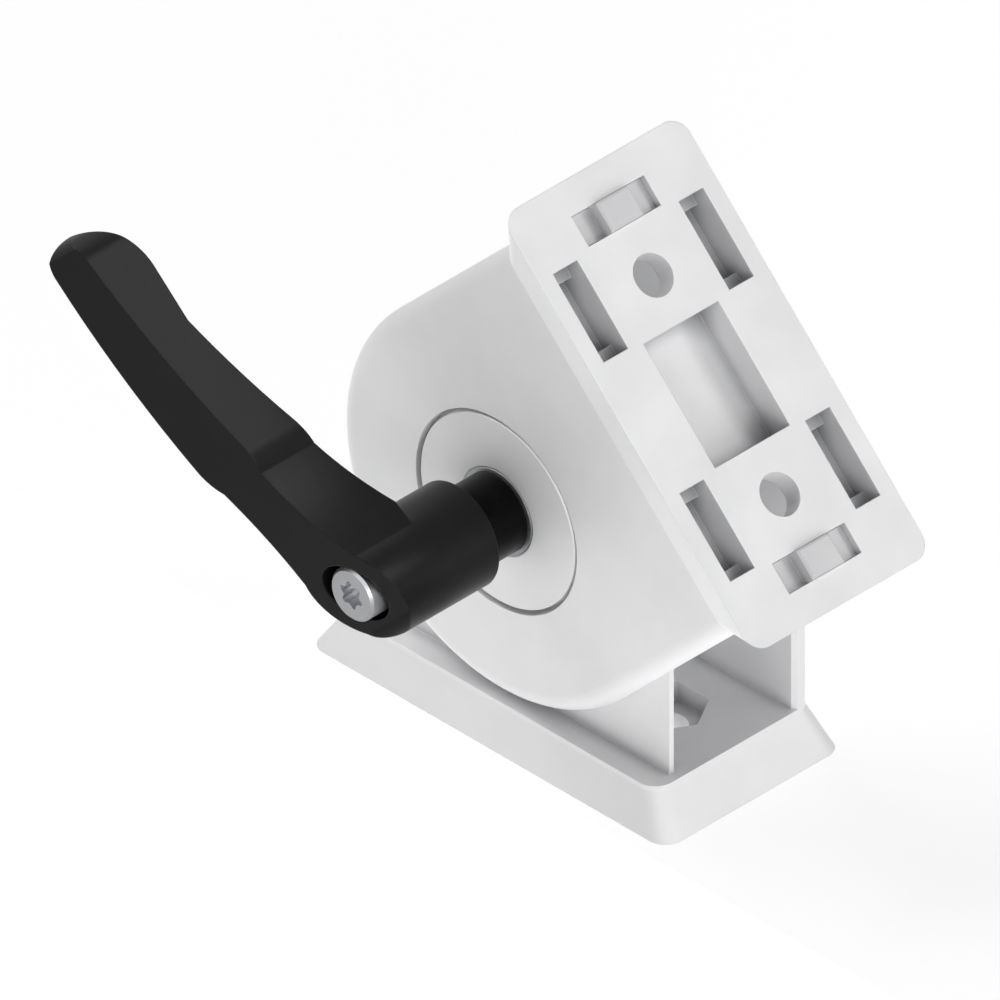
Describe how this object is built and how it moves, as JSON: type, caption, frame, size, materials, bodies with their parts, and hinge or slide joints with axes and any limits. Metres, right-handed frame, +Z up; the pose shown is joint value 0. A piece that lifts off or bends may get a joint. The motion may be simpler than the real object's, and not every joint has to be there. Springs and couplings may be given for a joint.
{
  "type": "profile pivot joint with clamping lever",
  "caption": "Two die-cast flanged halves hinged on one clamped pivot with an adjustable lever, for joining structural profiles at any angle.",
  "frame": {"origin": "middle of the face that the base flange stands on", "axes": "+Z up from that face, X along the base flange's long side, Y along the pivot axis with the lever on the -Y side"},
  "size_m": [0.1255, 0.097, 0.1172],
  "materials": {
    "cast_metal": "bead-blasted light grey die casting",
    "lug_metal": "matt light grey die casting",
    "steel": "zinc-plated steel",
    "blackened_steel": "blackened steel",
    "black_coat": "matt black powder coat on die-cast metal"
  },
  "bodies": {
    "base": {"base_half": "cast_metal", "far_disc": "cast_metal", "near_friction_ring": "steel", "far_friction_ring": "steel", "near_slide_washer": "steel", "far_slide_washer": "steel", "spacer_sleeve": "steel", "hex_nut": "steel"},
    "upper": {"upper_half": "cast_metal", "upper_lug_high": "lug_metal", "upper_lug_low": "lug_metal", "near_disc": "cast_metal", "thrust_washer": "steel"},
    "lever_core": {"clamp_stud": "steel", "lever_insert": "blackened_steel", "lever_screw": "steel", "lever_spring": "steel"},
    "handle": {"lever_handle": "black_coat"}
  },
  "joints": [
    {"name": "tilt", "type": "hinge", "parent": "base", "child": "upper", "pos_m": [0, 0, 0.05], "axis": [0, 1, 0], "range_deg": [-135, 45]},
    {"name": "clamp_turn", "type": "hinge", "parent": "base", "child": "lever_core", "pos_m": [0, 0, 0.05], "axis": [0, -1, 0], "range_deg": [0, 180]},
    {"name": "handle_lift", "type": "slide", "parent": "lever_core", "child": "handle", "axis": [0, -1, 0], "range_m": [0, 0.0045], "stiffness_N_per_m": 700, "springref_m": -0.003, "deforming": ["lever_spring"]}
  ]
}
